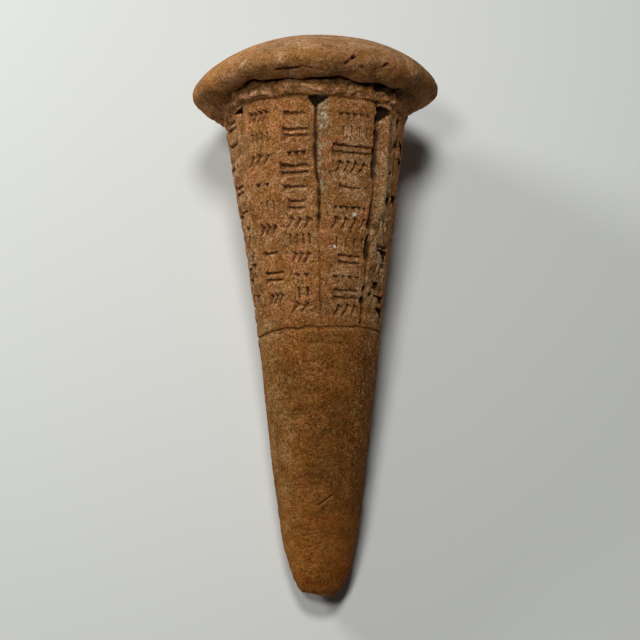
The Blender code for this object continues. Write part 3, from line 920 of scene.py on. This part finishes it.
def pressHead(clay):
    outer = clay.level > head["from"]
    for places, half, depth in head["lines"]:
        stops = [placeOn(clay, turn, station) for turn, station in places]
        for start, end in zip(stops, stops[1:]):
            run = end - start
            share = unit((clay.points - start) @ run / (run @ run))
            away = np.linalg.norm(clay.points - start - share[:, None] * run, axis=1)
            sunk = depth * (1 - 0.5 * share) * unit(1 - away / half)
            sunk = np.where(outer, sunk, 0)
            clay.carve(slice(None), sunk, sunk / 0.6)
            # painted shadow in the deepest part of each crack
            clay.most("deepShadow", np.where(outer, np.clip(1.4 * sunk - 0.7, 0, 0.8), 0))
    for turn, station, reach, tall in head["lumps"]:
        away = np.linalg.norm(clay.points - placeOn(clay, turn, station), axis=1)
        clay.height += np.where(outer, tall * bell(away, reach), 0)


wear = {
    # long scratches on the plain lower shaft: (turn, station) from and to, half width, depth
    "scratches": [
        ((-3, 21.0), (20, 23.5), 0.30, 0.55),
        ((-16, 53.2), (8, 53.0), 0.22, 0.25),
        ((-18, 46.0), (-6, 46.0), 0.22, 0.25),
        ((-29, 42.4), (-17, 42.2), 0.22, 0.25),
        ((-26, 14.2), (4, 14.9), 0.24, 0.30),
        ((4, 14.9), (30, 14.2), 0.22, 0.26),
        ((4, 12.6), (-34, 10.9), 0.24, 0.28),
        ((-4, 18.2), (14, 17.4), 0.22, 0.14),
        ((40, 49.0), (46, 45.0), 0.5, 0.3),
        ((48, 47.0), (50, 43.5), 0.5, 0.3),
        ((130, 40.0), (160, 37.0), 0.35, 0.3),
        ((-140, 50.0), (-122, 44.0), 0.35, 0.3),
        ((178, 22.0), (150, 19.0), 0.35, 0.3),
    ],
}


def scratchShaft(clay):
    for (turn, station), (endTurn, endStation), half, depth in wear["scratches"]:
        radius = float(shaftRadius(station))
        end = (math.radians(endTurn - turn) * radius, endStation - station)
        pressStroke(clay, turn, station, (0, 0), end, half, half * 0.7, depth, fade=0.4)


tip = {
    # each break is a plane: (across, station) of a point on it and its tilt about X and Y
    "breaks": [((1.8, 0.2), (-7.0, 9.0)), ((4.4, 0.2), (0.0, -62.0))],
    "roughness": 0.22,
    "lumpSize": 1.1,
}


def breakTip(points):
    rough = np.abs(cloud(points, tip["lumpSize"], 31)) * tip["roughness"]
    broken = np.zeros(len(points))
    for (across, station), (tiltX, tiltY) in tip["breaks"]:
        normal = Euler((math.radians(tiltX), math.radians(tiltY), 0.0)).to_matrix() @ Vector((0, 0, 1))
        below = (points - np.array((across, 0.0, station))) @ np.array(normal)
        lost = np.where(below < rough, below - rough, 0.0)
        points = points - lost[:, None] * np.array(normal)
        broken = np.maximum(broken, unit(-lost * 3))
    return points, broken


# it lies on the rim and on the belly of the tip, each a little flattened
rest = {"belly": 8.0, "rimFlat": 0.45, "tipFlat": 0.25}


def restPose():
    # how steeply the axis rises towards the head, and how high its tip end lies
    rimLow = cone["rimRadius"] - rest["rimFlat"]
    tipLow = float(shaftRadius(rest["belly"])) - rest["tipFlat"]
    rise = math.atan2(rimLow - tipLow, cone["rimStation"] - rest["belly"])
    return rise, rimLow * math.cos(rise) - cone["rimStation"] * math.sin(rise)


def layDown(points):
    rise, height = restPose()
    turned = Matrix.Rotation(rise - 0.5 * math.pi, 3, "X")
    return points @ np.array(turned).T + np.array((0.0, 0.0, height))


def makeConeMesh():
    mesh = turnedBlank()
    points = readValues(mesh.vertices, "co", width=3)
    level = points[:, 2].copy()
    radius = np.hypot(points[:, 0], points[:, 1])
    turn = np.degrees(np.arctan2(points[:, 0], -points[:, 1]))
    turn -= cone["frontDensity"] * np.degrees(np.sin(np.radians(turn)))
    points = rollLip(pressedPlaces(turn, radius, level), turn, radius, level)
    writePoints(mesh, points)
    normals = readValues(mesh.vertices, "normal", width=3)
    print("turned blank:", len(points), "points")

    clay = Clay(points, turn, radius, level)
    for rule in rules["lines"]:
        pressRule(clay, rule)
    for place in rules["pits"]:
        pressWedge(clay, *place)
    writeColumns(clay)
    pressLineRound(clay, ring["path"], ring["half"], ring["depth"])
    thinner, shallower = ring["secondShare"]
    second = (ring["half"] * thinner, ring["depth"] * shallower)
    pressLineRound(clay, ring["second"], *second, *ring["secondTurns"])
    pressNeck(clay)
    pressHead(clay)
    scratchShaft(clay)
    print("strokes pressed")
    roughenClay(clay)
    scatterGrains(clay)
    spreadPatches(clay)

    # the box of the bare shape, which the CAD solid shares, is centred on the origin
    bare = layDown(breakTip(points)[0])
    slide = -0.5 * (bare.min(axis=0) + bare.max(axis=0)) * (1, 1, 0)
    points = points + normals * (clay.height - clay.cut - clay.give - surface["sunk"])[:, None]
    points, broken = breakTip(points)
    laid = (layDown(points) + slide) * mm
    over = np.maximum(np.array(cadLow) - laid, laid - np.array(cadHigh)).max(axis=0)
    print("outside the solid's box, mm:", np.round(over / mm, 3))
    spare = finish["spare"] * mm
    writePoints(mesh, np.clip(laid, np.array(cadLow) + spare, np.array(cadHigh) - spare))
    clay.most("rawAndLit", broken)
    for name in clayLayers:
        writeLayer(mesh, name, getattr(clay, name))
    face = (np.abs(clay.turn) < finish["faceTurn"]) & (clay.station > finish["faceBottom"])
    face |= (np.abs(clay.turn) < finish["frontTurn"]) & (clay.station > finish["frontBottom"])
    face &= clay.station < finish["faceTop"]
    return mesh, slide * mm, face


finish = {
    # the written face keeps a finer net than the rest
    "faceTriangles": 139000,
    "otherTriangles": 58000,
    "faceTurn": 84,
    "faceBottom": 58,
    "frontTurn": 46,
    "frontBottom": 9,
    "faceTop": 121,
    # how far the surface stays inside the solid's box, in mm
    "spare": 0.02,
}


def thinned(piece, kept, ratio):
    # fewer triangles everywhere but at the kept points
    group = piece.vertex_groups.new(name="thin")
    group.add(np.flatnonzero(~kept).tolist(), 1.0, "REPLACE")
    thin = piece.modifiers.new("Thin", "DECIMATE")
    thin.vertex_group = group.name
    thin.vertex_group_factor = 1.0
    thin.ratio = ratio
    mesh = settledMesh(piece)
    piece.modifiers.clear()
    piece.vertex_groups.clear()
    rough = piece.data
    piece.data = mesh
    bpy.data.meshes.remove(rough)


def makeCone():
    mesh, slide, face = makeConeMesh()
    writeLayer(mesh, "face", face)
    piece = addObject("clay_cone_surface", mesh)
    print("carved surface:", len(mesh.polygons), "faces")
    for inFace in (False, True):
        mesh = piece.data
        kept = (readValues(mesh.attributes["face"].data, "value", np.float32) > 0.5) != inFace
        corners = readValues(mesh.loops, "vertex_index", np.int32)
        starts = readValues(mesh.polygons, "loop_start", np.int32)
        triangles = np.diff(np.append(starts, len(corners))) - 2
        held = triangles[kept[corners[starts]]].sum()
        wanted = finish["faceTriangles"] if inFace else finish["otherTriangles"]
        thinned(piece, kept, (held + wanted) / triangles.sum())
    final = piece.data
    final.attributes.remove(final.attributes["face"])
    final.name = "clay_cone_surface"
    final.shade_smooth()
    print("cone surface:", len(final.polygons), "faces,", [a.name for a in final.attributes])
    return piece, slide


# fired clay

clayLook = {
    "warm": (0.355, 0.154, 0.045, 1),
    "brown": (0.260, 0.110, 0.031, 1),
    "olive": (0.225, 0.118, 0.039, 1),
    "red": (0.365, 0.132, 0.046, 1),
    # chalk colours pale clay and painted highlights alike, raw the broken tip and the painted light on the
    # collar's ledge, dusty both dust and painted light, soot the pores, stains and painted shade
    "chalkAndHighlight": (0.54, 0.32, 0.165, 1),
    "sootAndShade": (0.080, 0.046, 0.014, 1),
    "rawAndLit": (0.56, 0.27, 0.12, 1),
    "dustyAndLit": (0.42, 0.285, 0.130, 1),
    "shadePowers": (1.0, 1.32, 2.15),
    "sand": (0.47, 0.29, 0.14, 1),
    "fleck": (0.045, 0.022, 0.010, 1),
    "dust": (0.145, 0.092, 0.042, 1),
    "paleDust": (0.42, 0.33, 0.20, 1),
    "crumb": (0.74, 0.67, 0.54, 1),
    # the next two are the colours of the painted shade in the cuts, with a little grime, and of the nearly
    # black painted shadow
    "shadeGrime": (0.050, 0.024, 0.010, 1),
    "shadowBlack": (0.014, 0.008, 0.004, 1),
    # how strongly the painted shade (with a little grime) and the painted black shadow fill the hollows
    "shadeGrimeStrength": 0.52,
    "shadowBlackened": 0.98,
    # speckle: (size, darkest, lightest, the same all over), and how dark a speck may get
    "speckles": [(0.30, -0.54, 0.53, False), (0.8, -0.28, 0.27, False), (3.4, -0.22, 0.21, True)],
    "darkest": 0.12,
    # bump: size of a grain, strength, height
    "grain": (0.45, 0.9, 0.30),
    # what the head, the lower shaft and the tip are multiplied by, and where along the cone that changes
    "head": (1.03, 1.09, 1.18),
    "headFrom": (0.047, 0.052),
    "lower": (0.73, 0.64, 0.43),
    "lowerFrom": (-0.012, 0.0),
    "tip": (0.86, 0.67, 0.34),
    "tipFrom": (-0.056, -0.044),
    "roughness": 0.9,
    "shine": 0.07,
}


def addNode(tree, kind, inputs=None, **settings):
    node = tree.nodes.new("ShaderNode" + kind)
    for name, value in settings.items():
        setattr(node, name, value)
    for name, value in (inputs or {}).items():
        if isinstance(value, bpy.types.NodeSocket):
            tree.links.new(value, node.inputs[name])
        else:
            node.inputs[name].default_value = value
    return node


def attribute(tree, name):
    return addNode(tree, "Attribute", attribute_name=name).outputs["Fac"]


def noiseAt(tree, place, size, detail=3.0, rough=0.55):
    # size is the width of one lump in millimetres
    settings = {"Vector": place, "Scale": 1.0 / (size * mm), "Detail": detail, "Roughness": rough}
    return addNode(tree, "TexNoise", settings).outputs["Fac"]


def specksAt(tree, place, size):
    settings = {"Vector": place, "Scale": 1.0 / (size * mm), "Randomness": 1.0}
    return addNode(tree, "TexVoronoi", settings).outputs["Distance"]


def between(tree, value, low, high, top=1.0, bottom=0.0):
    limits = {"From Min": low, "From Max": high, "To Min": bottom, "To Max": top}
    return addNode(tree, "MapRange", {"Value": value, **limits}).outputs["Result"]


def calc(tree, how, *values):
    return addNode(tree, "Math", dict(enumerate(values)), operation=how).outputs[0]


def times(tree, first, second):
    return calc(tree, "MULTIPLY", first, second)


def blend(tree, factor, first, second, how="MIX"):
    # the inputs and the output of a Mix node that stand for colours
    sockets = {0: factor, 6: first, 7: second}
    return addNode(tree, "Mix", sockets, data_type="RGBA", blend_type=how).outputs[2]


def shaded(tree, colour, shade):
    # darker clay is redder, lighter clay is paler
    powers = [calc(tree, "POWER", shade, power) for power in clayLook["shadePowers"]]
    tint = addNode(tree, "CombineColor", dict(zip(("Red", "Green", "Blue"), powers))).outputs["Color"]
    return blend(tree, 1.0, colour, tint, "MULTIPLY")


def bodyColour(tree, place, mottled):
    # brown clay in blotches, with broken places (the raw layer also paints light on the collar's ledge),
    # pale places that are partly painted highlight, dust that is partly painted light, and speckle
    look = clayLook
    colour = blend(tree, between(tree, noiseAt(tree, place, 16), 0.38, 0.66), look["warm"], look["brown"])
    colour = blend(tree, between(tree, noiseAt(tree, place, 7), 0.50, 0.70, 0.55), colour, look["olive"])
    colour = blend(tree, between(tree, noiseAt(tree, place, 4.2), 0.50, 0.68, 0.8), colour, look["red"])
    colour = blend(tree, times(tree, attribute(tree, "rawAndLit"), 0.85), colour, look["rawAndLit"])
    chalkyAndLit = times(tree, attribute(tree, "paleAndLit"), between(tree, mottled, 0.62, 0.38))
    colour = blend(tree, times(tree, chalkyAndLit, 0.9), colour, look["chalkAndHighlight"])
    dustedAndLit = times(tree, attribute(tree, "dustyAndLit"), between(tree, mottled, 0.34, 0.56))
    colour = blend(tree, dustedAndLit, colour, look["dustyAndLit"])
    coarse = attribute(tree, "coarse")
    for size, low, high, even in look["speckles"]:
        speckle = between(tree, noiseAt(tree, place, size, 3.0, 0.6), 0.32, 0.68, high, low)
        shade = calc(tree, "MULTIPLY_ADD", speckle, 1.0 if even else coarse, 1.0)
        colour = shaded(tree, colour, calc(tree, "MAXIMUM", shade, look["darkest"]))
    return colour


def addStains(tree, colour, place, mottled):
    # dark pores, soot stains and the painted shade that the stain layer holds
    stainAndShade = attribute(tree, "stainAndShade")
    porous = between(tree, noiseAt(tree, place, 3.0, 2.0, 0.5), 0.40, 0.60)
    pores = between(tree, noiseAt(tree, place, 0.62, 2.0, 0.5), 0.43, 0.36)
    pores = times(tree, pores, calc(tree, "MAXIMUM", porous, stainAndShade))
    colour = blend(tree, times(tree, pores, 0.85), colour, clayLook["sootAndShade"])
    stainedAndShaded = times(tree, stainAndShade, between(tree, mottled, 0.45, 0.53))
    return blend(tree, times(tree, stainedAndShaded, 0.65), colour, clayLook["sootAndShade"])


def addCrust(tree, colour, place, mottled):
    # the granular crust along the middle rule, and white where the pale layer is strongest
    look = clayLook
    crust = times(tree, noiseAt(tree, place, 2.6, 2.0, 0.5), noiseAt(tree, place, 0.7, 4.0, 0.7))
    crust = times(tree, attribute(tree, "lime"), between(tree, crust, 0.17, 0.27, 0.9))
    fine = noiseAt(tree, place, 0.75, 3.0, 0.6)
    dust = blend(tree, between(tree, fine, 0.43, 0.53), look["dust"], look["paleDust"])
    dust = blend(tree, between(tree, fine, 0.57, 0.66, 0.8), dust, look["crumb"])
    colour = blend(tree, crust, colour, dust)
    strongest = between(tree, attribute(tree, "paleAndLit"), 0.86, 1.1)
    white = times(tree, strongest, between(tree, mottled, 0.32, 0.50))
    return blend(tree, white, colour, look["crumb"])


def addSand(tree, colour, place):
    # pale sand in patches, dark flecks between them
    patchy = between(tree, noiseAt(tree, place, 2.2, 2.0, 0.5), 0.42, 0.58)
    sand = times(tree, between(tree, specksAt(tree, place, 0.8), 0.30, 0.14, 0.6), patchy)
    colour = blend(tree, sand, colour, clayLook["sand"])
    bare = between(tree, patchy, 0.4, 0.0)
    dark = times(tree, between(tree, specksAt(tree, place, 1.3), 0.24, 0.10, 0.7), bare)
    return blend(tree, dark, colour, clayLook["fleck"])


def tintLength(tree, colour, place):
    # the tip, the plain lower shaft and the head are each multiplied by their own factor: darker and redder
    # down the lower shaft and at the tip, paler on the head; the written field keeps its colour
    length = addNode(tree, "SeparateXYZ", {"Vector": place}).outputs["Y"]
    tint = (*clayLook["tip"], 1)
    beyonds = {"tipFrom": clayLook["lower"], "lowerFrom": (1, 1, 1), "headFrom": clayLook["head"]}
    for limits, beyond in beyonds.items():
        tint = blend(tree, between(tree, length, *clayLook[limits]), tint, (*beyond, 1))
    return blend(tree, 1.0, colour, tint, "MULTIPLY")


def firedClay():
    look = clayLook
    material = bpy.data.materials.new("fired_clay")
    material.use_nodes = True
    tree = material.node_tree
    shader = tree.nodes["Principled BSDF"]
    place = addNode(tree, "TexCoord").outputs["Object"]
    mottled = noiseAt(tree, place, 0.9, 4.0, 0.7)

    colour = bodyColour(tree, place, mottled)
    colour = addStains(tree, colour, place, mottled)
    colour = addCrust(tree, colour, place, mottled)
    colour = addSand(tree, colour, place)
    colour = tintLength(tree, colour, place)
    # painted shade in the cuts, with a little grime
    colour = blend(tree, times(tree, attribute(tree, "hollowShadeGrime"), look["shadeGrimeStrength"]), colour, look["shadeGrime"])
    # painted shadow, nearly black, in the deepest dents, grooves and cracks
    colour = blend(tree, times(tree, attribute(tree, "deepShadow"), look["shadowBlackened"]), colour, look["shadowBlack"])
    tree.links.new(colour, shader.inputs["Base Color"])

    size, strength, deep = look["grain"]
    grain = noiseAt(tree, place, size, 3.0, 0.6)
    bump = addNode(tree, "Bump", {"Height": grain, "Strength": strength, "Distance": deep * mm})
    tree.links.new(bump.outputs["Normal"], shader.inputs["Normal"])
    shader.inputs["Roughness"].default_value = look["roughness"]
    shader.inputs["Specular IOR Level"].default_value = look["shine"]
    return material


piece, slide = makeCone()
piece.data.materials.append(firedClay())
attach(piece, "root")
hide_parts("clay_cone")
print("clay finished")


# floor, light and camera

room = {
    "floorColour": (0.745, 0.77, 0.755, 1),
    "floorSize": 3.0,
    "floorRoughness": 0.95,
    "floorShine": 0.1,
    # each light: where it stands as degrees round from the right and up, how far off, its size, its power
    "lights": {
        "key": (92, 72, 0.45, 0.10, 0.88),
        "top_left": (182, 78, 0.45, 0.08, 0.50),
        "low_left": (145, 18, 0.45, 0.15, 1.15),
    },
    "lightColour": (1.0, 0.99, 0.97),
    "lightTarget": (0.0, 0.0, 0.02),
    "sky": (0.96, 0.98, 1.0, 1),
    "skyStrength": 0.03,
}


def layFloor():
    bm = bmesh.new()
    bmesh.ops.create_grid(bm, x_segments=1, y_segments=1, size=room["floorSize"] / 2)
    mesh = bpy.data.meshes.new("floor")
    bm.to_mesh(mesh)
    bm.free()
    floor = addObject("floor", mesh)
    paper = bpy.data.materials.new("pale_floor")
    paper.use_nodes = True
    shader = paper.node_tree.nodes["Principled BSDF"]
    shader.inputs["Base Color"].default_value = room["floorColour"]
    shader.inputs["Roughness"].default_value = room["floorRoughness"]
    shader.inputs["Specular IOR Level"].default_value = room["floorShine"]
    mesh.materials.append(paper)


def aim(thing, place, target):
    thing.location = place
    thing.rotation_euler = (Vector(target) - Vector(place)).to_track_quat("-Z", "Y").to_euler()


def lightRoom():
    world = bpy.data.worlds.new("studio")
    bpy.context.scene.world = world
    world.use_nodes = True
    background = world.node_tree.nodes["Background"]
    background.inputs["Color"].default_value = room["sky"]
    background.inputs["Strength"].default_value = room["skyStrength"]
    for name, (round_, up, away, size, power) in room["lights"].items():
        light = bpy.data.lights.new(name, "AREA")
        light.shape = "DISK"
        light.size = size
        light.energy = power
        light.color = room["lightColour"]
        lamp = addObject(name, light)
        bearing, lift = math.radians(round_), math.radians(up)
        level = away * math.cos(lift)
        offset = Vector((math.cos(bearing) * level, math.sin(bearing) * level, away * math.sin(lift)))
        target = Vector(room["lightTarget"])
        aim(lamp, target + offset, target)


view = {
    # where it looks, in mm along the cone from the tip, how far off it stands, its lean and roll in degrees
    # and a nudge to the right in mm
    "lens": 90.0,
    "sensor": 36.0,
    "along": 64.06,
    "distance": 374.7,
    "tilt": 6.0,
    "roll": 0.5,
    "right": 0.6,
}


def setCamera():
    # square to the cone's axis but for a small tilt towards the tip
    rise, height = restPose()
    axis = Vector((0.0, math.cos(rise), math.sin(rise)))
    out = Vector((0.0, -math.sin(rise), math.cos(rise)))
    target = axis * view["along"] * mm + Vector((0, slide[1], height * mm))
    tilt = math.radians(view["tilt"])
    back = out * math.cos(tilt) - axis * math.sin(tilt)
    up = axis * math.cos(tilt) + out * math.sin(tilt)
    right = up.cross(back)
    turned = Matrix((right, up, back)).transposed().to_4x4()
    lens = bpy.data.cameras.new("camera")
    lens.lens = view["lens"]
    lens.sensor_width = view["sensor"]
    camera = addObject("camera", lens)
    shift = Vector((view["right"] * mm, 0, 0))
    place = Matrix.Translation(target + shift + back * view["distance"] * mm)
    camera.matrix_world = place @ turned @ Matrix.Rotation(-math.radians(view["roll"]), 4, "Z")
    bpy.context.scene.camera = camera


layFloor()
lightRoom()
setCamera()
bpy.context.scene.view_settings.view_transform = "Standard"
print("stage, light and camera set")
